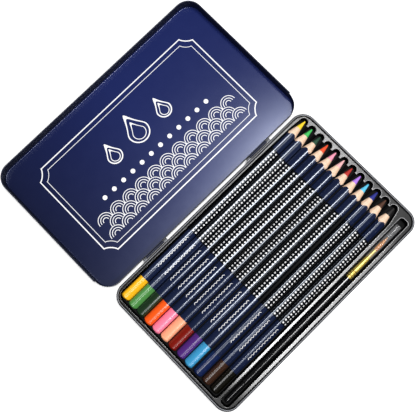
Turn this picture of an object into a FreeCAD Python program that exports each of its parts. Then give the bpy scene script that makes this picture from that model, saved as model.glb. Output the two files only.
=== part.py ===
# Watercolour pencil set: soft-triangular pencils and a brush in a black formed tray,
# inside a shallow tin whose lid lies open and flat behind it.
# Millimetres. The origin is the centre of the tin's underside, +X points along the pencils
# to their tips, +Y to the hinge and the open lid, +Z up.
import FreeCAD, Part
import math
import os
from FreeCAD import Vector

# Tin, drawn from tinplate; the base's edge is curled outwards into a bead
sheet = 0.3                 # tinplate
bead = 1.9                  # diameter of the bead
base_corner = 10.0          # plan radius over the bead
closed_height = 16.0        # outside, lid shut
rim_drop = 0.35             # bead's centre below the hinge axis
floor_bend = 0.8            # outside radius from floor to wall
curl_slit = 0.1             # from a curl's free end to its wall

# Lid, whose skirt passes outside the bead on three sides and stands on it behind
skirt_gap = 0.4             # skirt to bead
lid_curl = 1.1              # diameter of the skirt's curl
skirt_overlap = 1.4         # skirt past the hinge axis
skirt_lead = 0.7            # from the rear corner to the skirt's full height
skirt_rise = 3.0            # length of the skirt's slanted end

# Hinges: pins on arms of the base, each held by a loop that is rolled from the lid's back wall
hinge_spacing = 99.0
hinge_reach = 1.3           # bead to hinge axis
lid_setback = 1.45          # hinge axis to the lid's back wall
loop_width = 16.0
loop_wrap = 290.0           # degrees round the pin
loop_play = 0.08            # radial
pin_radius = 0.55
arm_width = 2.7
arm_play = 0.3              # loop to arm, each side
arm_root = 0.75             # arm's root from the bead's centre line

# Formed tray
tray_sheet = 0.5
tray_height = 7.4           # ledge above the tin's underside
tray_gap = 0.3              # to the base's wall
wall_draft = 4.0            # degrees
ledge_end = 1.2             # ledge widths round the well and the slot
ledge_back = 1.0
ledge_front = 2.15
ledge_tips = 1.15
ledge_slot_tip = 4.1
ledge_slot_end = 2.2
edge_round = 0.4            # rounding of the well's and the slot's upper edges
divider = 2.1               # between well and slot, at the top
slot_corner = 2.5
well_corner_back = 5.4
well_corner_front = 2.5
nose_radius = 3.1           # arch of the well round a pencil's point
finger_length = 13.3        # tray finger between two points
finger_radius = 0.35
finger_hollow_radius = 0.25
ramp_start = 3.05           # from the arches' crowns to where the fingers slope down
finger_foot = 2.0           # height of a finger's low end above the tin's underside
shoulder_radius = 25.0      # from the outer arches' flanks to the well's long sides

# Pencils
pencil_length = 175.0
pencil_width = 7.1          # the same across in every direction
pencil_corner = 2.0
pencil_room = 0.7           # between neighbours
back_room = 0.5             # first pencil to the well's back wall
front_room = 1.85           # last pencil to the well's front wall
end_room = 1.7              # dipped end to the well's end wall
tip_room = 1.95             # point to the arch round it
seat_gap = 0.2              # pencils and brush above their floor
point_angle = 12.9          # degrees, half angle of the sharpened cone
lead_diameter = 4.0
lead_tip_radius = 0.45      # blunt end
lead_tip_round = 0.35       # rounding of its rim
glue = 0.02
dip_length = 19.0
dip_coat = 0.08
dip_dome = 2.8              # rounding of the dipped end
dome_reach = 0.15           # how far the rounding starts outside the corners

# One row per pencil from the hinge forwards: colour, roll of its printed face towards +Y in
# degrees, and how far it lies along and across from its nominal place
pencils = [
    ("yellow", -24, 0.4, -0.25),
    ("green", -20, -0.2, 0.1),
    ("dark_green", 24, -0.1, 0.05),
    ("orange", 22, -0.4, 0.2),
    ("pink", 24, -0.3, 0.25),
    ("peach", 28, 0.0, 0.25),
    ("dark_red", 30, -0.3, 0.25),
    ("violet", 20, -0.1, 0.2),
    ("sky_blue", 24, -0.3, 0.15),
    ("navy", -30, 0.0, -0.2),
    ("brown", -32, 0.2, -0.25),
    ("black", -38, 0.1, -0.25),
]

# Brush
brush_end_room = 2.2        # handle's end to the slot's end wall
brush_side_room = 0.6       # belly to the slot's side walls
cap_room = 5.5              # cap to the slot's tip wall
knob_length = 15.0
knob_radius = 2.2
knob_tip_radius = 1.9
ring_radius = 2.05
ring_length = 1.2
neck_radius = 1.7
neck_length = 0.8
belly_radius = 3.0
belly_share = 0.72          # of the handle's length, from its end
handle_root = 2.3           # radius just past the ring
handle_dome = 1.5
ferrule_length = 26.5
ferrule_radius = 2.1
ferrule_mouth = 1.65
ferrule_wall = 0.25
ferrule_straight = 7.0
crimp_height = 0.25
crimp_width = 1.2
crimp_first = 2.5
crimp_step = 2.8
tenon_length = 11.0
hair_length = 13.0          # out of the ferrule
hair_belly = 1.5
hair_tip = 0.1
hair_start = 3.5            # from the handle's tenon, inside the ferrule
cap_start = 19.3            # from the ferrule's handle end
cap_length = 30.7
cap_wall = 0.3
cap_play = 0.08

past = 1.0                  # how far a cutting shape runs past what it cuts

# The tray is as large as its contents need, and the tin as large as the tray needs
pitch = pencil_width + pencil_room
slot_width = 2 * (belly_radius + brush_side_room)
tray_length = ledge_end + end_room + pencil_length + tip_room + ledge_tips
first_pencil = ledge_back + back_room + pencil_width / 2
last_pencil = front_room + pencil_width / 2
tray_width = first_pencil + (len(pencils) - 1) * pitch + last_pencil + divider + slot_width + ledge_front
base_length = tray_length + 2 * tray_gap + 2 * bead
base_width = tray_width + 2 * tray_gap + 2 * bead

axis_y = base_width / 2 + hinge_reach
axis_z = closed_height / 2
rim_z = axis_z - rim_drop
base_in_x = base_length / 2 - bead
base_in_y = base_width / 2 - bead
loop_in = pin_radius + loop_play
loop_out = loop_in + sheet
lid_in_x = base_length / 2 + skirt_gap
lid_back = axis_y + lid_setback
lid_far = 2 * axis_y + base_width / 2 + skirt_gap
lid_back_top = 2 * axis_z - rim_z - bead / 2 - skirt_gap
lid_rim_top = axis_z + skirt_overlap
tray_end = tray_length / 2
tray_back = tray_width / 2
tray_corner = base_corner - bead - tray_gap
tray_floor = sheet + tray_sheet
well_end = -tray_end + ledge_end
well_back = tray_back - ledge_back
slot_front = -tray_back + ledge_front
slot_back = slot_front + slot_width
slot_tip = tray_end - ledge_slot_tip
slot_end = -tray_end + ledge_slot_end
well_front = slot_back + divider
nose_x = tray_end - ledge_tips - nose_radius
finger_x = nose_x + nose_radius - finger_length + finger_radius
ramp_x = nose_x + nose_radius - ramp_start
pencil_y = [tray_back - first_pencil - i * pitch for i in range(len(pencils))]
brush_x = slot_end + brush_end_room
brush_y = (slot_front + slot_back) / 2
brush_z = tray_floor + seat_gap + belly_radius
handle_length = slot_tip - cap_room - cap_length - cap_start - brush_x
ferrule_x = brush_x + handle_length


def rounded_outline(corners, z):
    # Closed wire through corner points (x, y, radius), each rounded by a tangent arc.
    legs = []
    for i, (x, y, radius) in enumerate(corners):
        point = Vector(x, y, z)
        back = (Vector(*corners[i - 1][:2], z) - point).normalize()
        ahead = (Vector(*corners[(i + 1) % len(corners)][:2], z) - point).normalize()
        half = back.getAngle(ahead) / 2
        cut = radius / math.tan(half)
        middle = point + (back + ahead).normalize() * (radius / math.sin(half) - radius)
        legs.append((point + back * cut, middle, point + ahead * cut))
    edges = []
    for i, (start, middle, end) in enumerate(legs):
        edges.append(Part.LineSegment(legs[i - 1][2], start).toShape())
        edges.append(Part.Arc(start, middle, end).toShape())
    return Part.Wire(edges)


def rectangle(x0, x1, y0, y1, radius, z):
    return rounded_outline([(x0, y0, radius), (x1, y0, radius), (x1, y1, radius), (x0, y1, radius)], z)


def slab(x0, x1, y0, y1, radius, z0, z1):
    return Part.Face(rectangle(x0, x1, y0, y1, radius, z0)).extrude(Vector(0, 0, z1 - z0))


def block(x0, x1, y0, y1, z0, z1):
    return Part.makeBox(x1 - x0, y1 - y0, z1 - z0, Vector(x0, y0, z0))


def edges_in_plane(solid, axis, value):
    # Edges that lie wholly in the plane where the coordinate (0, 1 or 2) has this value.
    found = []
    for edge in solid.Edges:
        box = edge.BoundBox
        low = (box.XMin, box.YMin, box.ZMin)[axis]
        high = (box.XMax, box.YMax, box.ZMax)[axis]
        if abs(low - value) < 1e-4 and abs(high - value) < 1e-4:
            found.append(edge)
    return found


def drawn_pan(x0, x1, y0, y1, radius, top):
    # Open tinplate pan with a bent edge between its floor and its wall.
    outer = slab(x0, x1, y0, y1, radius, 0, top)
    outer = outer.makeFillet(floor_bend, edges_in_plane(outer, 2, 0))
    inner = slab(x0 + sheet, x1 - sheet, y0 + sheet, y1 - sheet, radius - sheet, sheet, top + past)
    inner = inner.makeFillet(floor_bend - sheet, edges_in_plane(inner, 2, sheet))
    return outer.cut(inner)


def ring_sector(inner, outer, start, end):
    # Part of a flat ring, in the XZ plane about the origin, between two angles in degrees.
    def at(radius, degrees):
        angle = math.radians(degrees)
        return Vector(radius * math.cos(angle), 0, radius * math.sin(angle))
    middle = (start + end) / 2
    return Part.Face(Part.Wire([
        Part.Arc(at(outer, start), at(outer, middle), at(outer, end)).toShape(),
        Part.LineSegment(at(outer, end), at(inner, end)).toShape(),
        Part.Arc(at(inner, end), at(inner, middle), at(inner, start)).toShape(),
        Part.LineSegment(at(inner, start), at(outer, start)).toShape()]))


def curl_section(diameter):
    # Section of a wall's edge curled outwards: it leaves the wall on the left and ends at a slit.
    radius = diameter / 2
    free_end = -math.degrees(math.acos(-(radius - sheet - curl_slit) / radius))
    return ring_sector(radius - sheet, radius, 180, free_end)


def stand(section, point, degrees):
    # The section stood at a point, its X axis turned outwards to this heading.
    face = section.copy()
    face.rotate(Vector(), Vector(0, 0, 1), degrees)
    face.translate(point)
    return face


def side_frame(side):
    # Outward and forward directions of a side, counted anticlockwise from +X.
    angle = math.radians(90 * side)
    outward = Vector(round(math.cos(angle)), round(math.sin(angle)), 0)
    return outward, Vector(-outward.y, outward.x, 0)


def curl_run(section, side, centre, reach, low, high):
    outward, forward = side_frame(side)
    start = centre + outward * reach + forward * low
    return stand(section, start, 90 * side).extrude(forward * (high - low))


def curl_turn(section, side, centre, reach, high, radius):
    # Quarter turn from the end of a side round the corner to the next one.
    outward, forward = side_frame(side)
    start = centre + outward * reach + forward * high
    pivot = start - outward * radius
    return stand(section, start, 90 * side).revolve(pivot, Vector(0, 0, 1), 90)


def base_pan():
    wall = drawn_pan(-base_in_x - sheet, base_in_x + sheet, -base_in_y - sheet, base_in_y + sheet,
                     base_corner - bead + sheet, rim_z)
    section = curl_section(bead)
    centre = Vector(0, 0, rim_z)
    radius = base_corner - bead / 2
    reaches = (base_length / 2 - bead / 2, base_width / 2 - bead / 2)
    rim = []
    for side in range(4):
        reach = reaches[side % 2]
        run = reaches[(side + 1) % 2] - radius
        rim.append(curl_run(section, side, centre, reach, -run, run))
        rim.append(curl_turn(section, side, centre, reach, run, radius))
    root = base_width / 2 - bead / 2 + arm_root
    inner = loop_width / 2 + arm_play
    outer = inner + arm_width
    for x in (-hinge_spacing / 2, hinge_spacing / 2):
        for start, end in ((-outer, -inner), (inner, outer)):
            rim.append(block(x + start, x + end, root, axis_y, axis_z - sheet / 2, axis_z + sheet / 2))
        end = Vector(x - outer, axis_y, axis_z)
        rim.append(Part.makeCylinder(pin_radius, 2 * outer, end, Vector(1, 0, 0)))
    return wall.multiFuse(rim).removeSplitter()


def lid():
    curl_z = lid_rim_top - lid_curl / 2
    inner_corner = base_corner + skirt_gap
    out_x = lid_in_x + sheet
    wall = drawn_pan(-out_x, out_x, lid_back, lid_far + sheet, inner_corner + sheet, curl_z)
    # The back of the skirt is low, so that it clears the bead, and rises along each end.
    high_end = lid_back + inner_corner + sheet + skirt_lead
    low_end = high_end - skirt_rise
    over = lid_rim_top + past
    behind = lid_back - past
    left = -out_x - past
    notch = Part.makePolygon([
        Vector(left, behind, lid_back_top), Vector(left, low_end, lid_back_top),
        Vector(left, high_end, curl_z), Vector(left, high_end, over),
        Vector(left, behind, over), Vector(left, behind, lid_back_top)])
    wall = wall.cut(Part.Face(notch).extrude(Vector(-2 * left, 0, 0)))

    section = curl_section(lid_curl)
    radius = inner_corner + lid_curl / 2
    reach_x = lid_in_x + lid_curl / 2
    reach_y = lid_far + lid_curl / 2 - axis_y
    centre = Vector(0, axis_y, curl_z)
    run_y = reach_y - radius
    run_x = reach_x - radius
    joined = [
        curl_run(section, 0, centre, reach_x, high_end - axis_y, run_y),
        curl_turn(section, 0, centre, reach_x, run_y, radius),
        curl_run(section, 1, centre, reach_y, -run_x, run_x),
        curl_turn(section, 1, centre, reach_y, run_x, radius),
        curl_run(section, 2, centre, reach_x, -run_y, axis_y - high_end)]

    # Each loop starts flat from the top of a tab of the back wall and is rolled round the pin.
    loop = ring_sector(loop_in, loop_out, -90, -90 - loop_wrap)
    half = loop_width / 2
    for x in (-hinge_spacing / 2, hinge_spacing / 2):
        start = Vector(x - half, axis_y, axis_z)
        joined.append(stand(loop, start, 90).extrude(Vector(loop_width, 0, 0)))
        joined.append(block(x - half, x + half, axis_y, lid_back + sheet,
                            axis_z - loop_out, axis_z - loop_in))
        joined.append(block(x - half, x + half, lid_back, lid_back + sheet,
                            lid_back_top - sheet, axis_z - loop_in))
    return wall.multiFuse(joined).removeSplitter()


def flare():
    # Unit normal, into the plastic, of the straight side between an arch and the finger below it.
    across = Vector(finger_x - nose_x, -pitch / 2, 0)
    heading = math.atan2(across.y, across.x)
    heading += math.acos((nose_radius + finger_radius) / across.Length)
    return Vector(math.cos(heading), math.sin(heading), 0)


def shoulder(reach):
    # Lean of an outer arch's flank, which runs from the arch to a long side, this far from its
    # centre, level with the fingers' tips.
    along = nose_x - finger_x
    return math.atan(reach / along) - math.asin(nose_radius / math.hypot(reach, along))


def well_wire(grow, z):
    # Outline of the pencil well, grown outwards by this much: straight sides, an arch round
    # each point, and a finger between each two arches.
    normal = flare()
    flipped = Vector(normal.x, -normal.y, 0)
    nose = nose_radius + grow
    tip = max(finger_radius - grow, finger_hollow_radius)
    tip_x = finger_x + (tip - finger_radius + grow) / normal.x
    edges = []

    def line(start, end):
        edges.append(Part.LineSegment(start, end).toShape())

    def arc(start, middle, end):
        edges.append(Part.Arc(start, middle, end).toShape())

    def flank(side_y, nose_y):
        # Normal of an outer arch's flank, and the arc that joins the flank to the long side.
        turn = 1 if side_y > nose_y else -1
        reach = abs(side_y - nose_y)
        lean = shoulder(reach)
        size = shoulder_radius + grow
        knee_x = nose_x + (nose - math.cos(lean) * (reach + grow)) / math.sin(lean)
        knee = Vector(knee_x, side_y + turn * grow, z)
        cut = size * math.tan(lean / 2)
        rise = size / math.cos(lean / 2) - size
        inwards = Vector(-math.sin(lean / 2), -turn * math.cos(lean / 2), 0)
        slope = Vector(math.cos(lean), -turn * math.sin(lean), 0)
        bend = (knee - Vector(cut, 0, 0), knee + inwards * rise, knee + slope * cut)
        return Vector(math.sin(lean), turn * math.cos(lean), 0), bend

    back_normal, back_bend = flank(well_back, pencil_y[0])
    front_normal, front_bend = flank(well_front, pencil_y[-1])
    back, front, end = well_back + grow, well_front - grow, well_end - grow
    back_corner = well_corner_back + grow
    front_corner = well_corner_front + grow
    diagonal = 1 - math.sqrt(0.5)
    line(Vector(end + back_corner, back, z), back_bend[0])
    arc(*back_bend)
    last = back_bend[2]
    for i, y in enumerate(pencil_y):
        centre = Vector(nose_x, y, z)
        enter = centre + (back_normal if i == 0 else flipped) * nose
        leave = centre + (front_normal if i == len(pencil_y) - 1 else normal) * nose
        line(last, enter)
        arc(enter, centre + Vector(nose, 0, 0), leave)
        last = leave
        if i < len(pencil_y) - 1:
            finger = Vector(tip_x, y - pitch / 2, z)
            line(last, finger - normal * tip)
            arc(finger - normal * tip, finger - Vector(tip, 0, 0), finger - flipped * tip)
            last = finger - flipped * tip
    line(last, front_bend[2])
    arc(front_bend[2], front_bend[1], front_bend[0])
    line(front_bend[0], Vector(end + front_corner, front, z))
    arc(Vector(end + front_corner, front, z),
        Vector(end + diagonal * front_corner, front + diagonal * front_corner, z),
        Vector(end, front + front_corner, z))
    line(Vector(end, front + front_corner, z), Vector(end, back - back_corner, z))
    arc(Vector(end, back - back_corner, z),
        Vector(end + diagonal * back_corner, back - diagonal * back_corner, z),
        Vector(end + back_corner, back, z))
    return Part.Wire(edges)


def slot_wire(grow, z):
    return rectangle(slot_end - grow, slot_tip + grow, slot_front - grow, slot_back + grow,
                     slot_corner + grow, z)


def formed_hollow(wire, grow, low, high):
    # Hollow with drafted walls: the outline at ledge height, grown, narrower further down.
    def level(z):
        return wire(grow + (z - tray_height) * math.tan(math.radians(wall_draft)), z)
    return Part.makeLoft([level(low), level(high)], True, True)


def under_ramp(low_x, depth, floor):
    # Space under the fingers' sloping tops, this deep below them.
    slope = (tray_height - finger_foot) / (ramp_x - finger_x)
    drop = depth * math.hypot(1, slope)
    low_z = tray_height - (ramp_x - low_x) * slope
    outline = Part.makePolygon([
        Vector(ramp_x, pencil_y[-1], floor), Vector(ramp_x, pencil_y[-1], tray_height - drop),
        Vector(low_x, pencil_y[-1], low_z - drop), Vector(low_x, pencil_y[-1], floor),
        Vector(ramp_x, pencil_y[-1], floor)])
    return Part.Face(outline).extrude(Vector(0, pencil_y[0] - pencil_y[-1], 0))


def tray():
    top = tray_height
    under = top - tray_sheet
    ledge = slab(-tray_end, tray_end, -tray_back, tray_back, tray_corner, under, top)
    hollows = (well_wire, slot_wire)
    shells = [formed_hollow(wire, tray_sheet, sheet, top - tray_sheet / 2) for wire in hollows]
    body = ledge.multiFuse(shells)
    for wire in hollows:
        body = body.cut(formed_hollow(wire, 0, tray_floor, top + past))
    # The fingers slope down from ledge height to their tips.
    low_x = finger_x - 2 * past
    body = body.cut(block(low_x, ramp_x, pencil_y[-1], pencil_y[0], tray_floor, top + past))
    well = formed_hollow(well_wire, 0, tray_floor - past, top + past)
    outer = formed_hollow(well_wire, tray_sheet, 0, top + past)
    fingers = under_ramp(low_x, 0, tray_floor).cut(well)
    inside = under_ramp(low_x, tray_sheet, 0).cut(outer)
    body = body.fuse(fingers.cut(inside)).removeSplitter()
    border = rectangle(-tray_end, tray_end, -tray_back, tray_back, tray_corner, top)
    mouths = [edge for edge in edges_in_plane(body, 2, top) if edge.distToShape(border)[0] > edge_round]
    return body.makeFillet(edge_round, mouths)


def triangle_sizes(width, corner):
    # Radius of the three broad faces, and distance of the corners' centres from the axis.
    face = width - corner
    return face, (face - corner) / math.sqrt(3)


def soft_triangle(width, corner, roll, x, y, z):
    # Section of a pencil in the YZ plane: three broad arcs and three corner arcs. The roll is
    # the heading of one broad face, in degrees from +Z towards +Y.
    face, offset = triangle_sizes(width, corner)

    def away(distance, degrees):
        angle = math.radians(degrees)
        return Vector(0, distance * math.sin(angle), distance * math.cos(angle))
    axis = Vector(x, y, z)
    edges = []
    third = 120
    half_turn = 30
    for heading in (roll + third / 2, roll + 3 * third / 2, roll + 5 * third / 2):
        here = axis + away(offset, heading)
        ahead = axis + away(offset, heading + third)
        start = here + away(corner, heading - half_turn)
        turn = here + away(corner, heading + half_turn)
        middle = axis + away(face - offset, heading + third / 2)
        following = ahead + away(corner, heading + third - half_turn)
        edges.append(Part.Arc(start, here + away(corner, heading), turn).toShape())
        edges.append(Part.Arc(turn, middle, following).toShape())
    return Part.Face(Part.Wire(edges))


def height_over(roll):
    # Axis height over a flat floor that a rolled pencil touches.
    face, offset = triangle_sizes(pencil_width + 2 * dip_coat, pencil_corner + dip_coat)
    lean = abs(roll) % 60
    if abs(roll) <= 30:
        return offset * math.cos(math.radians(lean)) + pencil_corner + dip_coat
    return face - offset * math.cos(math.radians(60 - lean))


def barrel(width, corner, dome, roll, start, end, y, z):
    # Length of a pencil's section with its start end rounded over.
    bar = soft_triangle(width, corner, roll, start, y, z).extrude(Vector(end - start, 0, 0))
    face, offset = triangle_sizes(width, corner)
    reach = offset + corner + dome_reach
    flat = Vector(start, 0, reach - dome)
    round_end = Vector(start + dome, 0, reach)
    middle = Vector(round_end.x - dome * math.sqrt(0.5), 0, flat.z + dome * math.sqrt(0.5))
    far = end + past
    rest = polyline([round_end, Vector(far, 0, reach), Vector(far, 0, 0), Vector(start, 0, 0), flat])
    bullet = revolved_edges([Part.Arc(flat, middle, round_end).toShape()] + rest, y, z)
    return bar.common(bullet)


def turned(profile, y, z):
    # Solid of revolution about a line along X, from a closed list of (x, radius) corners.
    points = [Vector(x, y, z + radius) for x, radius in profile]
    face = Part.Face(Part.makePolygon(points + points[:1]))
    return face.revolve(Vector(0, y, z), Vector(1, 0, 0), 360)


def pencil(roll, start, y, z):
    # Casing, lead and dipped end of one pencil whose end is at start.
    tip_x = start + pencil_length
    wood_start = start + dip_coat
    slope = math.tan(math.radians(point_angle))
    wide = pencil_width
    sharpener = turned([(wood_start - past, 0), (wood_start - past, wide),
                        (tip_x - (wide - lead_tip_radius) / slope, wide),
                        (tip_x, lead_tip_radius), (tip_x, 0)], y, z)
    along = Vector(1, 0, 0)
    wood = barrel(pencil_width, pencil_corner, dip_dome - dip_coat, roll, wood_start, tip_x, y, z)
    bore = Part.makeCylinder(lead_diameter / 2 + glue, pencil_length, Vector(wood_start, y, z), along)
    casing = wood.common(sharpener).cut(bore)
    core = Part.makeCylinder(lead_diameter / 2, pencil_length - dip_coat, Vector(wood_start, y, z), along)
    lead = core.common(wood).common(sharpener)
    lead = lead.makeFillet(lead_tip_round, edges_in_plane(lead, 0, tip_x))
    coat = barrel(pencil_width + 2 * dip_coat, pencil_corner + dip_coat, dip_dome, roll,
                  start, start + dip_length, y, z)
    room = barrel(pencil_width + 2 * glue, pencil_corner + glue, dip_dome - dip_coat + glue, roll,
                  wood_start - glue, tip_x, y, z)
    return casing, lead, coat.cut(room)


def revolved_edges(edges, y, z):
    # Solid of revolution about a line along X, from a closed outline drawn over the X axis.
    face = Part.Face(Part.Wire(edges))
    face.translate(Vector(0, y, z))
    return face.revolve(Vector(0, y, z), Vector(1, 0, 0), 360)


def polyline(points):
    return [Part.LineSegment(a, b).toShape() for a, b in zip(points, points[1:])]


def level_arc(start, peak):
    # Arc from a point up to a peak, level at the peak.
    run, rise = start.x - peak.x, peak.z - start.z
    radius = (run ** 2 + rise ** 2) / (2 * rise)
    half = math.asin(run / radius) / 2
    middle = peak + Vector(radius * math.sin(half), 0, radius * math.cos(half) - radius)
    return Part.Arc(start, middle, peak).toShape()


def brush_handle():
    ring_x = brush_x + knob_length + neck_length
    root_x = ring_x + ring_length + neck_length
    neck = neck_length / 4
    up = [Vector(brush_x, 0, 0), Vector(brush_x, 0, knob_tip_radius),
          Vector(brush_x + knob_length, 0, knob_radius),
          Vector(brush_x + knob_length + neck, 0, neck_radius), Vector(ring_x - neck, 0, neck_radius),
          Vector(ring_x, 0, ring_radius), Vector(ring_x + ring_length, 0, ring_radius),
          Vector(ring_x + ring_length + neck, 0, neck_radius), Vector(root_x - neck, 0, neck_radius),
          Vector(root_x, 0, handle_root)]
    seat = Vector(ferrule_x, 0, ferrule_radius)
    tenon = ferrule_radius - ferrule_wall - glue
    down = [seat, Vector(ferrule_x, 0, tenon), Vector(ferrule_x + tenon_length, 0, tenon),
            Vector(ferrule_x + tenon_length, 0, 0), up[0]]
    peak = Vector(brush_x + belly_share * handle_length, 0, belly_radius)
    belly = [level_arc(up[-1], peak), level_arc(seat, peak)]
    handle = revolved_edges(polyline(up) + belly + polyline(down), brush_y, brush_z)
    return handle.makeFillet(handle_dome, edges_in_plane(handle, 0, brush_x))


def ferrule_taper(along):
    # Outside radius of the ferrule past its straight part.
    share = (along - ferrule_straight) / (ferrule_length - ferrule_straight)
    return ferrule_radius + (ferrule_mouth - ferrule_radius) * share


def brush_ferrule():
    def at(along, radius):
        return Vector(ferrule_x + along, 0, radius)
    edges = []
    last = at(0, ferrule_radius)
    for crimp in (crimp_first, crimp_first + crimp_step):
        start = at(crimp - crimp_width / 2, ferrule_radius)
        end = at(crimp + crimp_width / 2, ferrule_radius)
        edges += polyline([last, start])
        edges.append(Part.Arc(start, at(crimp, ferrule_radius + crimp_height), end).toShape())
        last = end
    bore = ferrule_radius - ferrule_wall
    edges += polyline([
        last, at(ferrule_straight, ferrule_radius), at(ferrule_length, ferrule_mouth),
        at(ferrule_length, ferrule_mouth - ferrule_wall),
        at(tenon_length + glue, ferrule_taper(tenon_length) - ferrule_wall),
        at(tenon_length + glue, bore), at(0, bore), at(0, ferrule_radius)])
    return revolved_edges(edges, brush_y, brush_z)


def brush_bristles():
    mouth_x = ferrule_x + ferrule_length
    root_x = ferrule_x + tenon_length + hair_start
    mouth = ferrule_mouth - ferrule_wall - glue
    root = Vector(root_x, 0, mouth)
    collar = Vector(mouth_x, 0, mouth)
    point = Vector(mouth_x + hair_length, 0, hair_tip)
    belly = Part.Arc(collar, Vector(mouth_x + hair_length / 3, 0, hair_belly), point).toShape()
    edges = polyline([Vector(root_x, 0, 0), root, collar]) + [belly]
    edges += polyline([point, Vector(point.x, 0, 0), Vector(root_x, 0, 0)])
    return revolved_edges(edges, brush_y, brush_z)


def brush_cap():
    inner = ferrule_taper(cap_start) + cap_play
    start = ferrule_x + cap_start
    return turned([(start, inner), (start, inner + cap_wall), (start + cap_length, inner + cap_wall),
                   (start + cap_length, inner)], brush_y, brush_z)


def write(name, shape):
    shape.exportStep("parts/" + name + ".step")
    print(name, "solids", len(shape.Solids), "valid", shape.isValid(), "volume", round(shape.Volume, 2))


os.makedirs("parts", exist_ok=True)
write("base_pan", base_pan())
write("lid", lid())
write("tray", tray())
for (colour, roll, along, across), row_y in zip(pencils, pencil_y):
    height = tray_floor + seat_gap + height_over(roll)
    pieces = pencil(roll, well_end + end_room + along, row_y + across, height)
    for piece, shape in zip(("casing", "lead", "dip"), pieces):
        write(colour + "_pencil_" + piece, shape)
write("brush_handle", brush_handle())
write("brush_ferrule", brush_ferrule())
write("brush_bristles", brush_bristles())
write("brush_cap", brush_cap())
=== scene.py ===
import math
import random

import bpy
from mathutils import Matrix, Vector


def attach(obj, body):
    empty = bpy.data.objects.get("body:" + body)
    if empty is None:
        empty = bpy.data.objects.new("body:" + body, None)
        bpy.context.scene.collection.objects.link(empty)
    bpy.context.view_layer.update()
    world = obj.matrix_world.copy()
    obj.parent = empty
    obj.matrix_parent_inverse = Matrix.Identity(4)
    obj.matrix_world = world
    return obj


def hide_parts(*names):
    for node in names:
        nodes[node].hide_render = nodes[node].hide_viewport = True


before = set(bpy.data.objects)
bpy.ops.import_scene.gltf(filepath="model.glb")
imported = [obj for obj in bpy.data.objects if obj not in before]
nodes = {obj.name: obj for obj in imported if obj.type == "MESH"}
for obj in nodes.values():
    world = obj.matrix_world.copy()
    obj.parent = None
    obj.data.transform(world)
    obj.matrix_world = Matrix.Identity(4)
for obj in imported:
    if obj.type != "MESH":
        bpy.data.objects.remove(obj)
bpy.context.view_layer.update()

mm = 0.001
random.seed(12)


def srgb(*channels):
    # screen colour 0-255 to the linear values that shaders take
    linear = [((c / 255 + 0.055) / 1.055) ** 2.4 if c > 10 else c / 255 / 12.92 for c in channels]
    return (*linear, 1.0)


# small helpers for node trees
def addNode(tree, kind, values=None, **props):
    node = tree.nodes.new(kind)
    for key, value in props.items():
        setattr(node, key, value)
    for key, value in (values or {}).items():
        node.inputs[key].default_value = value
    return node


def join(tree, source, target):
    tree.links.new(source, target)


def feed(tree, target, value):
    # a plain value is set on the socket, an output is linked to it
    if isinstance(value, (int, float, tuple)):
        target.default_value = value
    else:
        join(tree, value, target)


def calc(tree, operation, a, b=None, clamp=False):
    node = addNode(tree, "ShaderNodeMath", operation=operation, use_clamp=clamp)
    feed(tree, node.inputs[0], a)
    if b is not None:
        feed(tree, node.inputs[1], b)
    return node.outputs[0]


def mix(tree, kind, factor, a, b):
    node = addNode(tree, "ShaderNodeMix", data_type=kind)
    first, out = {"FLOAT": (2, 0), "VECTOR": (4, 1), "RGBA": (6, 2)}[kind]
    for slot, value in ((0, factor), (first, a), (first + 1, b)):
        feed(tree, node.inputs[slot], value)
    return node.outputs[out]


def fade(tree, value, start, end):
    # 0 to 1 between two values
    node = addNode(tree, "ShaderNodeMapRange", {"From Min": start, "From Max": end})
    join(tree, value, node.inputs["Value"])
    return node.outputs[0]


def objectPlace(tree):
    return addNode(tree, "ShaderNodeTexCoord").outputs["Object"]


def axesOf(tree, vector):
    split = addNode(tree, "ShaderNodeSeparateXYZ")
    join(tree, vector, split.inputs[0])
    return split.outputs


def newMaterial(name, **values):
    mat = bpy.data.materials.new(name)
    mat.use_nodes = True
    shader = mat.node_tree.nodes["Principled BSDF"]
    for key, value in values.items():
        shader.inputs[key.replace("_", " ")].default_value = value
    return mat, mat.node_tree, shader


def newGroup(name, inputs, outputs):
    group = bpy.data.node_groups.new(name, "ShaderNodeTree")
    for label, kind, value in inputs:
        socket = group.interface.new_socket(label, in_out="INPUT", socket_type=kind)
        if value is not None:
            socket.default_value = value
    for label, kind in outputs:
        group.interface.new_socket(label, in_out="OUTPUT", socket_type=kind)
    return group, group.nodes.new("NodeGroupInput"), group.nodes.new("NodeGroupOutput")


def useGroup(tree, group, vector, **values):
    node = tree.nodes.new("ShaderNodeGroup")
    node.node_tree = group
    join(tree, vector, node.inputs["Vector"])
    for key, value in values.items():
        feed(tree, node.inputs[key], value)
    return node


def paint(node, mat):
    nodes[node].data.materials.clear()
    nodes[node].data.materials.append(mat)


# cloudy tint: two sizes of noise that darken and lighten a colour, and wear the gloss a little
tintLook = {"largeDetail": 5.0, "largeRough": 0.6, "fineDetail": 3.0, "fineTimes": 9.0, "largeShare": 0.65,
            "wear": 0.6}
tintGroup, gIn, gOut = newGroup(
    "cloudyTint",
    [("Vector", "NodeSocketVector", None), ("Scale", "NodeSocketFloat", 60.0),
     ("Colour", "NodeSocketColor", None), ("Amount", "NodeSocketFloat", 0.15),
     ("Gloss", "NodeSocketFloat", 0.25)],
    [("Colour", "NodeSocketColor"), ("Roughness", "NodeSocketFloat")])
large = addNode(tintGroup, "ShaderNodeTexNoise",
                {"Detail": tintLook["largeDetail"], "Roughness": tintLook["largeRough"]})
fine = addNode(tintGroup, "ShaderNodeTexNoise", {"Detail": tintLook["fineDetail"]})
for noise in (large, fine):
    join(tintGroup, gIn.outputs["Vector"], noise.inputs["Vector"])
join(tintGroup, gIn.outputs["Scale"], large.inputs["Scale"])
finer = calc(tintGroup, "MULTIPLY", gIn.outputs["Scale"], tintLook["fineTimes"])
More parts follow.
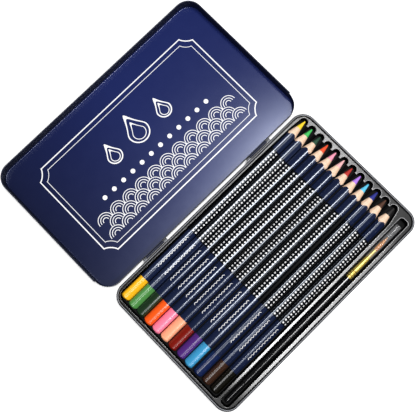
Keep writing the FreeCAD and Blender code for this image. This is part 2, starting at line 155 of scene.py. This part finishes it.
join(tintGroup, finer, fine.inputs["Scale"])
both = calc(tintGroup, "ADD", calc(tintGroup, "MULTIPLY", large.outputs[0], tintLook["largeShare"]),
            calc(tintGroup, "MULTIPLY", fine.outputs[0], 1 - tintLook["largeShare"]))
swing = calc(tintGroup, "MULTIPLY", calc(tintGroup, "SUBTRACT", both, 0.5), gIn.outputs["Amount"])
factor = calc(tintGroup, "ADD", calc(tintGroup, "MULTIPLY", swing, 2.0), 1.0)
scaled = addNode(tintGroup, "ShaderNodeVectorMath", operation="SCALE")
join(tintGroup, gIn.outputs["Colour"], scaled.inputs[0])
join(tintGroup, factor, scaled.inputs["Scale"])
join(tintGroup, scaled.outputs[0], gOut.inputs["Colour"])
worn = calc(tintGroup, "MULTIPLY", swing, tintLook["wear"])
join(tintGroup, calc(tintGroup, "ADD", gIn.outputs["Gloss"], worn, clamp=True), gOut.inputs["Roughness"])

# fine ripple of a dipped or printed finish, as a normal
rippleLook = {"detail": 2.0, "depth": 0.2 * mm}
rippleGroup, gIn, gOut = newGroup(
    "fineRipple",
    [("Vector", "NodeSocketVector", None), ("Scale", "NodeSocketFloat", 400.0),
     ("Strength", "NodeSocketFloat", 0.1)],
    [("Normal", "NodeSocketVector")])
wave = addNode(rippleGroup, "ShaderNodeTexNoise", {"Detail": rippleLook["detail"]})
join(rippleGroup, gIn.outputs["Vector"], wave.inputs["Vector"])
join(rippleGroup, gIn.outputs["Scale"], wave.inputs["Scale"])
bump = addNode(rippleGroup, "ShaderNodeBump", {"Distance": rippleLook["depth"]})
join(rippleGroup, gIn.outputs["Strength"], bump.inputs["Strength"])
join(rippleGroup, wave.outputs[0], bump.inputs["Height"])
join(rippleGroup, bump.outputs[0], gOut.inputs["Normal"])


def finishOf(tree, place, colour, look):
    # colour, roughness and normal of one finish
    tint = useGroup(tree, tintGroup, place, Scale=look["clouds"], Colour=colour, Amount=look["amount"],
                    Gloss=look["gloss"])
    ripple = useGroup(tree, rippleGroup, place, Scale=look["ripple"], Strength=look["bump"])
    return tint.outputs["Colour"], tint.outputs["Roughness"], ripple.outputs["Normal"]


def dress(tree, shader, finish):
    for label, socket in zip(("Base Color", "Roughness", "Normal"), finish):
        join(tree, socket, shader.inputs[label])


def plainFinish(name, colour, look, **values):
    mat, tree, shader = newMaterial(name, **values)
    dress(tree, shader, finishOf(tree, objectPlace(tree), colour, look))
    return mat


def drawnGrain(tree, place, look):
    # noise drawn out along the piece: a colour between two tones, and a normal
    stretch = addNode(tree, "ShaderNodeMapping", {"Scale": look["stretch"]})
    join(tree, place, stretch.inputs["Vector"])
    noise = addNode(tree, "ShaderNodeTexNoise",
                    {"Scale": 1.0, "Detail": look["detail"], "Roughness": look["noiseRough"]})
    join(tree, stretch.outputs[0], noise.inputs["Vector"])
    ramp = addNode(tree, "ShaderNodeValToRGB")
    for element, (position, colour) in zip(ramp.color_ramp.elements, look["tones"]):
        element.position = position
        element.color = colour
    join(tree, noise.outputs[0], ramp.inputs[0])
    bump = addNode(tree, "ShaderNodeBump", {"Strength": look["bump"], "Distance": look["depth"]})
    join(tree, noise.outputs[0], bump.inputs["Height"])
    return ramp.outputs[0], bump.outputs[0]


# tin base: bare bright tinplate
panLook = {"clouds": 40.0, "amount": 0.12, "gloss": 0.44, "ripple": 500.0, "bump": 0.015,
           "colour": srgb(84, 85, 88)}
paint("base_pan", plainFinish("brightTinplate", panLook["colour"], panLook, Metallic=1.0))
print("base done")

# tray: black formed sheet, dull in the wells and glossy on the ledge, most of all beside the brush,
# with a painted highlight: a paler tint along the bends round the points stands for their glint
trayLook = {"clouds": 30.0, "amount": 0.25, "gloss": 0.5, "ripple": 260.0, "bump": 0.003,
            "colour": srgb(7, 7, 8), "ior": 1.14, "coatIor": 2.1, "coatGloss": 0.2, "dullCoat": 0.76,
            "ledgeZ": (6.6 * mm, 7.2 * mm), "bend": srgb(185, 185, 187),
            "bendFrom": (("Z", 7.02, 7.1), ("Z", 7.395, 7.37), ("X", 45.0, 70.0)),
            "dullFrom": (("X", 55.0, 75.0), ("X", -64.0, -80.0), ("Y", -44.5, -36.0))}
mat, tree, shader = newMaterial("blackFormedSheet", IOR=trayLook["ior"], Coat_IOR=trayLook["coatIor"],
                                Coat_Roughness=trayLook["coatGloss"])
place = objectPlace(tree)
axes = axesOf(tree, place)
dull = 0.0
for axis, start, end in trayLook["dullFrom"]:
    dull = calc(tree, "MAXIMUM", fade(tree, axes[axis], start * mm, end * mm), dull)
shine = calc(tree, "SUBTRACT", 1.0, calc(tree, "MULTIPLY", dull, trayLook["dullCoat"]))
ledge = fade(tree, axes["Z"], *trayLook["ledgeZ"])
join(tree, calc(tree, "MULTIPLY", ledge, shine), shader.inputs["Coat Weight"])
# painted highlight: the bends round the points are tinted paler to stand for the glint on their rounded
# edges
bend = 1.0
for axis, start, end in trayLook["bendFrom"]:
    bend = calc(tree, "MULTIPLY", fade(tree, axes[axis], start * mm, end * mm), bend)
ground = mix(tree, "RGBA", bend, trayLook["colour"], trayLook["bend"])
dress(tree, shader, finishOf(tree, place, ground, trayLook))
paint("tray", mat)
print("tray done")

# lid: navy print on tinplate, with painted shade: darker toward one end and darker up the walls, which are
# also duller
lidLook = {"clouds": 14.0, "amount": 0.1, "gloss": 0.19, "ripple": 350.0, "bump": 0.012,
           "colour": srgb(21, 32, 86), "deep": srgb(13, 19, 50), "deepX": (-95.0 * mm, 10.0 * mm),
           "wall": srgb(8, 11, 30), "wallZ": (0.8 * mm, 2.2 * mm), "wallRough": 0.55,
           "ior": 1.5, "sheen": (0.72, 0.78, 1.0, 1.0)}
mat, tree, shader = newMaterial("navyPrintedTin", IOR=lidLook["ior"], Specular_Tint=lidLook["sheen"])
place = objectPlace(tree)
axes = axesOf(tree, place)
# painted shade: the colour darkens toward the -X end, standing for the light falling off
ground = mix(tree, "RGBA", fade(tree, axes["X"], *lidLook["deepX"]), lidLook["deep"], lidLook["colour"])
onWall = fade(tree, axes["Z"], *lidLook["wallZ"])
# painted shade: the walls are darkened where they stand in shade
ground = mix(tree, "RGBA", onWall, ground, lidLook["wall"])
lidGloss = mix(tree, "FLOAT", onWall, lidLook["gloss"], lidLook["wallRough"])
dress(tree, shader, finishOf(tree, place, ground, dict(lidLook, gloss=lidGloss)))
paint("lid", mat)
print("lid done")

# pencils: as they lie in the tray, in mm
pencilLook = {"length": 175.0, "startX": -87.6, "firstY": 48.8, "pitch": 7.8, "pointAngle": 12.9,
              "tipRadius": 0.45, "width": 7.1, "corner": 2.0, "floor": 1.0, "coat": 0.08, "bareDepth": 0.05}
lacquerLook = {"clouds": 70.0, "amount": 0.16, "gloss": 0.18, "ripple": 700.0, "bump": 0.002,
               "navy": srgb(21, 30, 58), "grip": srgb(6, 8, 14), "gripX": (-23.5 * mm, 57.5 * mm),
               "ior": 1.5, "sheen": (0.82, 0.89, 1.0, 1.0)}
woodLook = {"stretch": (60.0, 1400.0, 1400.0), "detail": 4.0, "noiseRough": 0.65, "bump": 0.25,
            "depth": 0.1 * mm, "tones": ((0.38, srgb(230, 192, 160)), (0.62, srgb(248, 222, 198))),
            "gloss": 0.65}
dipLook = {"clouds": 90.0, "amount": 0.1, "gloss": 0.2, "ripple": 500.0, "bump": 0.004, "ior": 1.5}
leadLook = {"clouds": 500.0, "amount": 0.35, "gloss": 0.5, "ripple": 1800.0, "bump": 0.3}
# name, roll of the printed face, shift along and across, colours of dip and lead
pencilRows = [
    ("yellow", -24, 0.4, -0.25, (248, 183, 25), (248, 214, 44)),
    ("green", -20, -0.2, 0.1, (75, 138, 68), (66, 190, 92)),
    ("dark_green", 24, -0.1, 0.05, (26, 48, 28), (40, 76, 56)),
    ("orange", 22, -0.4, 0.2, (251, 90, 21), (240, 84, 44)),
    ("pink", 24, -0.3, 0.25, (251, 130, 161), (248, 156, 182)),
    ("peach", 28, 0.0, 0.25, (252, 172, 133), (240, 184, 186)),
    ("dark_red", 30, -0.3, 0.25, (123, 19, 7), (184, 48, 42)),
    ("violet", 20, -0.1, 0.2, (76, 37, 118), (180, 124, 232)),
    ("sky_blue", 24, -0.3, 0.15, (59, 149, 196), (92, 200, 236)),
    ("navy", -30, 0.0, -0.2, (18, 33, 75), (44, 50, 140)),
    ("brown", -32, 0.2, -0.25, (55, 33, 22), (84, 54, 40)),
    ("black", -38, 0.1, -0.25, (12, 11, 6), (36, 34, 34)),
]
faceRadius = pencilLook["width"] - pencilLook["corner"]
cornerOffset = (pencilLook["width"] - 2 * pencilLook["corner"]) / math.sqrt(3)
onCorner = 30  # degrees of roll up to which a corner carries the pencil, past that a broad face


def pencilHeight(roll):
    # height of the axis over the tray floor for a soft triangle at this roll
    lean = math.radians(abs(roll))
    if abs(roll) <= onCorner:
        return cornerOffset * math.cos(lean) + pencilLook["corner"] + pencilLook["coat"]
    return faceRadius + pencilLook["coat"] - cornerOffset * math.cos(math.radians(2 * onCorner) - lean)


def casingMaterial(name, tip, shift):
    # lacquer with a dark grip, and bare wood inside the cone of the point
    mat, tree, shader = newMaterial(name, IOR=lacquerLook["ior"], Specular_Tint=lacquerLook["sheen"])
    here = objectPlace(tree)
    centred = addNode(tree, "ShaderNodeMapping", {"Location": -tip})
    join(tree, here, centred.inputs["Vector"])
    fromTip = axesOf(tree, centred.outputs[0])
    squares = [calc(tree, "MULTIPLY", fromTip[axis], fromTip[axis]) for axis in "YZ"]
    radius = calc(tree, "SQRT", calc(tree, "ADD", *squares))
    slope = math.tan(math.radians(pencilLook["pointAngle"]))
    cone = calc(tree, "SUBTRACT", calc(tree, "MULTIPLY", fromTip["X"], -slope), radius)
    bare = calc(tree, "LESS_THAN", cone, pencilLook["bareDepth"] * mm)
    along = axesOf(tree, here)["X"]
    gripStart, gripEnd = lacquerLook["gripX"]
    grip = calc(tree, "MULTIPLY", calc(tree, "GREATER_THAN", along, gripStart + shift),
                calc(tree, "LESS_THAN", along, gripEnd + shift))
    lacquer = mix(tree, "RGBA", grip, lacquerLook["navy"], lacquerLook["grip"])
    coatColour, coatRough, coatNormal = finishOf(tree, here, lacquer, lacquerLook)
    woodColour, woodNormal = drawnGrain(tree, centred.outputs[0], woodLook)
    dress(tree, shader, (mix(tree, "RGBA", bare, coatColour, woodColour),
                         mix(tree, "FLOAT", bare, coatRough, woodLook["gloss"]),
                         mix(tree, "VECTOR", bare, coatNormal, woodNormal)))
    return mat


pencilTips = {}
for i, (colour, roll, along, across, dip, lead) in enumerate(pencilRows):
    apex = pencilLook["startX"] + along + pencilLook["length"]
    apex += pencilLook["tipRadius"] / math.tan(math.radians(pencilLook["pointAngle"]))
    tip = Vector((apex, pencilLook["firstY"] - i * pencilLook["pitch"] + across,
                  pencilLook["floor"] + pencilHeight(roll))) * mm
    pencilTips[colour] = tip
    paint(colour + "_pencil_casing", casingMaterial(colour + "Casing", tip, along * mm))
    paint(colour + "_pencil_dip", plainFinish(colour + "Dip", srgb(*dip), dipLook, IOR=dipLook["ior"]))
    paint(colour + "_pencil_lead", plainFinish(colour + "Lead", srgb(*lead), leadLook))
print("pencils done")

# brush handle: black lacquer
handleLook = {"clouds": 60.0, "amount": 0.2, "gloss": 0.08, "ripple": 300.0, "bump": 0.002,
              "colour": srgb(12, 12, 14), "ior": 1.5}
paint("brush_handle", plainFinish("blackLacquer", handleLook["colour"], handleLook, IOR=handleLook["ior"]))

# brush ferrule: gold, with painted shade in the grooves beside its crimps
ferruleLook = {"clouds": 300.0, "amount": 0.2, "gloss": 0.34, "ripple": 900.0, "bump": 0.03,
               "colour": srgb(218, 190, 96), "metal": 0.6, "grooveShade": srgb(88, 70, 22),
               "grooves": (31.2, 32.6, 34.8, 37.0), "grooveWidth": 0.4}
mat, tree, shader = newMaterial("goldFerrule", Metallic=ferruleLook["metal"])
place = objectPlace(tree)
along = axesOf(tree, place)["X"]
# painted shade: darker gold rings along the grooves
grooveShade = 0.0
for x in ferruleLook["grooves"]:
    off = calc(tree, "ABSOLUTE", calc(tree, "SUBTRACT", along, x * mm))
    grooveShade = calc(tree, "ADD", calc(tree, "LESS_THAN", off, ferruleLook["grooveWidth"] / 2 * mm), grooveShade)
ground = mix(tree, "RGBA", grooveShade, ferruleLook["colour"], ferruleLook["grooveShade"])
dress(tree, shader, finishOf(tree, place, ground, ferruleLook))
paint("brush_ferrule", mat)

# brush cap: clear tube that shows most where it turns away
tubeLook = {"clouds": 200.0, "amount": 0.05, "gloss": 0.1, "ripple": 500.0, "bump": 0.004,
            "colour": srgb(170, 170, 172), "ior": 1.5, "blend": 0.5, "clear": 0.12, "edge": 0.6,
            "edgePower": 2.5}
mat, tree, shader = newMaterial("clearTube", IOR=tubeLook["ior"])
dress(tree, shader, finishOf(tree, objectPlace(tree), tubeLook["colour"], tubeLook))
facing = addNode(tree, "ShaderNodeLayerWeight", {"Blend": tubeLook["blend"]}).outputs["Facing"]
rim = calc(tree, "MULTIPLY", calc(tree, "POWER", facing, tubeLook["edgePower"]), tubeLook["edge"])
join(tree, calc(tree, "ADD", rim, tubeLook["clear"]), shader.inputs["Alpha"])
paint("brush_cap", mat)
print("brush done")

# white printing: shared ways of drawing flat shapes on a face, in mm
inkLook = {"clouds": 250.0, "amount": 0.06, "gloss": 0.4, "ripple": 900.0, "bump": 0.05,
           "colour": srgb(244, 244, 244)}
whiteInk = plainFinish("whiteInk", inkLook["colour"], inkLook)


def deselect():
    if bpy.context.mode != "OBJECT":
        bpy.ops.object.mode_set(mode="OBJECT")
    bpy.ops.object.select_all(action="DESELECT")


def pick(obj):
    deselect()
    obj.select_set(True)
    bpy.context.view_layer.objects.active = obj


def editAll():
    bpy.ops.object.mode_set(mode="EDIT")
    bpy.ops.mesh.select_mode(type="VERT")
    bpy.ops.mesh.select_all(action="SELECT")


def applyPlace():
    bpy.ops.object.mode_set(mode="OBJECT")
    bpy.ops.object.transform_apply(location=True, rotation=True, scale=True)


def applyModifier(obj, kind, **settings):
    mod = obj.modifiers.new(kind.lower(), kind)
    for key, value in settings.items():
        setattr(mod, key, value)
    bpy.ops.object.modifier_apply(modifier=mod.name)


def repeatAlong(obj, count, step):
    applyModifier(obj, "ARRAY", count=count, use_relative_offset=False, use_constant_offset=True,
                  constant_offset_displace=(step * mm, 0, 0))


def joinAll(pieces, name):
    pick(pieces[0])
    for piece in pieces:
        piece.select_set(True)
    bpy.ops.object.join()
    whole = bpy.context.object
    whole.name = name
    whole.data.name = name
    return whole


def thicken(obj, depth):
    pick(obj)
    applyModifier(obj, "SOLIDIFY", thickness=depth * mm, offset=1.0)
    editAll()
    bpy.ops.mesh.normals_make_consistent(inside=False)
    bpy.ops.object.mode_set(mode="OBJECT")


def ringAt(x, y, z, radius, width, sides, upperHalf=False):
    # flat ring, or the upper half of one, drawn as a circle whose edge is extruded inwards
    deselect()
    centre = Vector((x, y, z)) * mm
    bpy.ops.mesh.primitive_circle_add(vertices=sides, radius=radius * mm, fill_type="NOTHING",
                                      location=centre)
    editAll()
    if upperHalf:
        bpy.ops.mesh.bisect(plane_co=centre, plane_no=(0, 1, 0), clear_inner=True)
        bpy.ops.mesh.select_all(action="SELECT")
    bpy.ops.mesh.extrude_region_move()
    shrink = (radius - width) / radius
    bpy.ops.transform.resize(value=(shrink, shrink, 1), center_override=centre)
    applyPlace()
    ring = bpy.context.object
    if ring.data.polygons[0].normal.z < 0:
        editAll()
        bpy.ops.mesh.flip_normals()
        bpy.ops.object.mode_set(mode="OBJECT")
    return ring


def discAt(x, y, z, radius, sides):
    deselect()
    bpy.ops.mesh.primitive_circle_add(vertices=sides, radius=radius * mm, fill_type="NGON",
                                      location=Vector((x, y, z)) * mm)
    applyPlace()
    return bpy.context.object


# lid print: a framed field with a scalloped wave band, three drops and twelve spots
lidPrint = {"centre": (0.0, 116.0), "floor": 0.3, "outer": (150.0, 80.0, 7.0, 0.8),
            "inner": (142.0, 72.0, 6.0, 0.4), "notchSteps": 8, "notchBow": 0.15,
            "waveRadii": (6.0, 4.2, 2.4), "waveLine": 0.5, "waves": 11, "waveRows": (84.5, 90.5, 96.5),
            "waveSides": 32, "drops": ((-24.0, 126.0, 6.0), (0.0, 127.0, 8.5), (24.0, 126.0, 6.0)),
            "dropLine": 0.9, "dropSides": 48, "dropPinch": 0.55, "dropDraw": 0.9,
            "coreSize": 0.62, "coreLine": 0.6, "coreDrop": 0.1,
            "spots": 12, "spotRow": 109.0, "spotStep": 9.0, "spotRadius": 1.7, "spotSides": 24,
            "depth": 0.03}


def dropAt(x, y, z, radius, width):
    # ring whose top is drawn up to a point
    drop = ringAt(x, y, z, radius, width, lidPrint["dropSides"])
    for v in drop.data.vertices:
        rise = (v.co.y / mm - y) / radius
        if rise > 0:
            pull = rise ** 2
            v.co.x = (x + (v.co.x / mm - x) * (1 - lidPrint["dropPinch"] * pull)) * mm
            v.co.y += radius * lidPrint["dropDraw"] * pull ** 2 * mm
    return drop


def frameAt(x, y, z, wide, high, notch, width):
    # thin frame with notched corners
    deselect()
    bpy.ops.mesh.primitive_plane_add(size=1.0, location=Vector((x, y, z)) * mm)
    plate = bpy.context.object
    plate.scale = (wide * mm, high * mm, 1)
    applyPlace()
    editAll()
    bpy.ops.mesh.bevel(offset=notch * mm, segments=lidPrint["notchSteps"], profile=lidPrint["notchBow"],
                       affect="VERTICES")
    bpy.ops.mesh.select_all(action="SELECT")
    bpy.ops.mesh.inset(thickness=width * mm)
    bpy.ops.mesh.delete(type="FACE")
    bpy.ops.object.mode_set(mode="OBJECT")
    return plate


cx, cy = lidPrint["centre"]
level = lidPrint["floor"]
pieces = [frameAt(cx, cy, level, *lidPrint["outer"]), frameAt(cx, cy, level, *lidPrint["inner"])]
reach = lidPrint["waveRadii"][0]
for row, y in enumerate(lidPrint["waveRows"]):
    count = lidPrint["waves"] - row % 2
    for radius in lidPrint["waveRadii"]:
        arc = ringAt(cx - (count - 1) * reach, y, level, radius, lidPrint["waveLine"],
                     lidPrint["waveSides"], upperHalf=True)
        repeatAlong(arc, count, 2 * reach)
        pieces.append(arc)
for x, y, radius in lidPrint["drops"]:
    pieces.append(dropAt(cx + x, y, level, radius, lidPrint["dropLine"]))
    pieces.append(dropAt(cx + x, y - radius * lidPrint["coreDrop"], level, radius * lidPrint["coreSize"],
                         lidPrint["dropLine"] * lidPrint["coreLine"]))
spotStart = cx - (lidPrint["spots"] - 1) / 2 * lidPrint["spotStep"]
spot = discAt(spotStart, lidPrint["spotRow"], level, lidPrint["spotRadius"], lidPrint["spotSides"])
repeatAlong(spot, lidPrint["spots"], lidPrint["spotStep"])
pieces.append(spot)
lidArt = joinAll(pieces, "lid_print")
thicken(lidArt, lidPrint["depth"])
lidArt.data.materials.append(whiteInk)
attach(lidArt, "lid")
print("lid print done")

# pencil print: two rows of raised dots and a small wave line on one broad face
printLook = {"dot": 1.36, "dotSides": 12, "dotInset": 0.3, "pitch": 2.5, "rows": (-1.4, 1.4),
             "startX": -22.0, "count": 32, "depth": 0.1, "dome": 0.03, "waveX": -55.0, "waveRadius": 1.3,
             "waveLine": 0.45, "waves": 11, "waveSides": 16, "waveDepth": 0.03}


def onFace(shift, lift):
    # point and lean on the printed face, this far round it from its middle and this far off it
    lean = shift / faceRadius
    return (faceRadius + lift) * math.sin(lean), (faceRadius + lift) * math.cos(lean) - cornerOffset, lean


def dotRow(shift):
    deselect()
    y, z, lean = onFace(shift, 0.0)
    bpy.ops.mesh.primitive_cylinder_add(vertices=printLook["dotSides"], radius=printLook["dot"] / 2 * mm,
                                        depth=printLook["depth"] * mm)
    dot = bpy.context.object
    bpy.ops.object.mode_set(mode="EDIT")
    bpy.ops.mesh.select_mode(type="FACE")
    bpy.ops.object.mode_set(mode="OBJECT")
    for face in dot.data.polygons:
        face.select = face.normal.z > 0.9
    bpy.ops.object.mode_set(mode="EDIT")
    bpy.ops.mesh.inset(thickness=printLook["dotInset"] * mm)
    bpy.ops.transform.translate(value=(0, 0, printLook["dome"] * mm))
    bpy.ops.object.mode_set(mode="OBJECT")
    dot.location = Vector((printLook["startX"], y, z)) * mm
    dot.rotation_euler = (-lean, 0, 0)
    applyPlace()
    repeatAlong(dot, printLook["count"], printLook["pitch"])
    return dot


def waveRow():
    y, z, lean = onFace(0.0, printLook["waveDepth"])
    arc = ringAt(0, 0, 0, printLook["waveRadius"], printLook["waveLine"], printLook["waveSides"],
                 upperHalf=True)
    repeatAlong(arc, printLook["waves"], 2 * printLook["waveRadius"])
    thicken(arc, printLook["waveDepth"])
    arc.location = Vector((printLook["waveX"], y, z)) * mm
    arc.rotation_euler = (-lean, 0, 0)
    applyPlace()
    return arc


pattern = joinAll([waveRow()] + [dotRow(shift) for shift in printLook["rows"]], "pencil_print")
pattern.data.materials.append(whiteInk)
for colour, roll, along, *_ in pencilRows:
    tip = pencilTips[colour]
    piece = pattern.copy()
    piece.data = pattern.data.copy()
    piece.name = colour + "_print"
    rolled = Matrix.Rotation(math.radians(-roll), 4, "X")
    piece.data.transform(Matrix.Translation((along * mm, tip.y, tip.z)) @ rolled)
    bpy.context.scene.collection.objects.link(piece)
    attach(piece, colour + "_pencil")
bpy.data.objects.remove(pattern)
print("pencil print done")

# brush hair: a ridged tuft drawn out of the ferrule, with loose hairs over it, in mm from the mouth
hairLook = {"mouthX": 57.4, "y": -48.1, "z": 4.0, "sides": 36, "ridge": 0.9, "twist": 4.0, "smooth": 60.0,
            "profile": ((-3.0, 1.36), (0.0, 1.36), (2.2, 1.46), (4.3, 1.5), (6.5, 1.34), (8.5, 1.02),
                        (10.5, 0.62), (12.0, 0.3), (12.9, 0.1)),
            "stretch": (50.0, 5000.0, 5000.0), "detail": 3.0, "noiseRough": 0.5, "bump": 0.5,
            "depth": 0.1 * mm, "tones": ((0.35, srgb(158, 88, 10)), (0.65, srgb(250, 168, 44))),
            "gloss": 0.5}
strandLook = {"count": 90, "start": (0.5, 6.0), "length": (4.0, 6.4), "last": 12.8, "root": 1.42,
              "lateRoot": 1.3, "late": 4.3, "belly": 3.5, "reach": 9.6, "bulge": 1.5, "tip": 0.12,
              "spread": (0.85, 1.02), "sway": 0.15, "sides": 4, "thick": 0.07, "thin": 0.02}


def hairPoint(x, radius=0.0, turn=0.0):
    return Vector((hairLook["mouthX"] + x, hairLook["y"] + radius * math.cos(turn),
                   hairLook["z"] + radius * math.sin(turn))) * mm


deselect()
rootX, rootRadius = hairLook["profile"][0]
centre = hairPoint(rootX)
bpy.ops.mesh.primitive_circle_add(vertices=hairLook["sides"], radius=rootRadius * mm, fill_type="NGON",
                                  location=centre, rotation=(0, math.pi / 2, 0))
applyPlace()
tuft = bpy.context.object
for i, v in enumerate(tuft.data.vertices):
    v.co = centre + (v.co - centre) * (hairLook["ridge"] if i % 2 else 1.0)
editAll()
for (x0, r0), (x1, r1) in zip(hairLook["profile"], hairLook["profile"][1:]):
    bpy.ops.mesh.extrude_region_move(TRANSFORM_OT_translate={"value": ((x1 - x0) * mm, 0, 0)})
    here = hairPoint(x1)
    bpy.ops.transform.resize(value=(1, r1 / r0, r1 / r0), center_override=here)
    bpy.ops.transform.rotate(value=math.radians(hairLook["twist"]), orient_axis="X", center_override=here)
bpy.ops.mesh.select_all(action="SELECT")
bpy.ops.mesh.normals_make_consistent(inside=False)
bpy.ops.object.mode_set(mode="OBJECT")

pieces = [tuft]
for _ in range(strandLook["count"]):
    deselect()
    turn = random.uniform(0, 2 * math.pi)
    start = random.uniform(*strandLook["start"])
    end = min(start + random.uniform(*strandLook["length"]), strandLook["last"])
    root = strandLook["root"] if start < strandLook["late"] else strandLook["lateRoot"]
    bulge = strandLook["bulge"] * (1 - ((end - strandLook["belly"]) / strandLook["reach"]) ** 2)
    endRadius = max(strandLook["tip"], bulge) * random.uniform(*strandLook["spread"])
    a = hairPoint(start, root, turn)
    b = hairPoint(end, endRadius, turn + strandLook["sway"])
    bpy.ops.mesh.primitive_cone_add(vertices=strandLook["sides"], radius1=strandLook["thick"] * mm,
                                    radius2=strandLook["thin"] * mm, depth=(b - a).length,
                                    location=(a + b) / 2,
                                    rotation=(b - a).to_track_quat("Z", "Y").to_euler())
    applyPlace()
    pieces.append(bpy.context.object)
tuft = joinAll(pieces, "brush_hair")
pick(tuft)
bpy.ops.object.shade_smooth_by_angle(angle=math.radians(hairLook["smooth"]))
mat, tree, shader = newMaterial("squirrelHair", Roughness=hairLook["gloss"])
hairColour, hairNormal = drawnGrain(tree, objectPlace(tree), hairLook)
join(tree, hairColour, shader.inputs["Base Color"])
join(tree, hairNormal, shader.inputs["Normal"])
tuft.data.materials.clear()
tuft.data.materials.append(mat)
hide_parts("brush_bristles")
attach(tuft, "brush")
print("hair done")

# floor, light and camera
studio = {"floor": srgb(250, 250, 250), "floorSize": 40.0, "floorZ": -0.2 * mm, "floorRough": 0.9,
          "glow": 0.2, "farGlow": 1.0, "farFrom": (0.6, 2.5), "world": 0.09, "backdrop": 1.0,
          "aim": (0.0, 0.05, 0.0),
          "key": {"power": 36.0, "size": (0.24, 0.84), "place": (0.25, 0.02, 2.0), "spin": 27.0},
          "strip": {"power": 18.0, "size": (1.8, 0.18), "place": (0.0, -0.95, 1.9), "spin": 0.0}}
photoView = {"lens": 56.46, "sensor": 36.0, "place": (-0.04044, 0.00558, 0.45132),
             "turn": (7.586, 0.853, -44.423)}
deselect()
bpy.ops.mesh.primitive_plane_add(size=studio["floorSize"], location=(0, 0, studio["floorZ"]))
floor = bpy.context.object
floor.name = "floor"
mat, tree, shader = newMaterial("paleFloor", Roughness=studio["floorRough"], Base_Color=studio["floor"],
                                Emission_Strength=1.0)
away = addNode(tree, "ShaderNodeVectorMath", operation="LENGTH")
join(tree, objectPlace(tree), away.inputs[0])
near, far = [tuple(c * glow for c in studio["floor"]) for glow in (studio["glow"], studio["farGlow"])]
glow = mix(tree, "RGBA", fade(tree, away.outputs["Value"], *studio["farFrom"]), near, far)
join(tree, glow, shader.inputs["Emission Color"])
floor.data.materials.append(mat)

for name in ("key", "strip"):
    look = studio[name]
    light = bpy.data.lights.new(name, "AREA")
    light.shape = "RECTANGLE"
    light.size, light.size_y = look["size"]
    light.energy = look["power"]
    lamp = bpy.data.objects.new(name, light)
    lamp.location = look["place"]
    aimed = (Vector(look["place"]) - Vector(studio["aim"])).to_track_quat("Z", "Y").to_matrix().to_4x4()
    lamp.rotation_euler = (aimed @ Matrix.Rotation(math.radians(look["spin"]), 4, "Z")).to_euler()
    bpy.context.scene.collection.objects.link(lamp)

world = bpy.data.worlds.new("studio")
bpy.context.scene.world = world
world.use_nodes = True
tree = world.node_tree
backdrop = tree.nodes["Background"]  # white behind the part, dim as a light
backdrop.inputs["Color"].default_value = (1, 1, 1, 1)
seen = addNode(tree, "ShaderNodeLightPath").outputs["Is Camera Ray"]
join(tree, mix(tree, "FLOAT", seen, studio["world"], studio["backdrop"]), backdrop.inputs["Strength"])
bpy.context.scene.view_settings.view_transform = "Standard"

camData = bpy.data.cameras.new("photoCamera")
camData.lens = photoView["lens"]
camData.sensor_width = photoView["sensor"]
camera = bpy.data.objects.new("photoCamera", camData)
camera.location = photoView["place"]
camera.rotation_euler = [math.radians(angle) for angle in photoView["turn"]]
bpy.context.scene.collection.objects.link(camera)
bpy.context.scene.camera = camera
print("studio done")

bpy.context.view_layer.update()
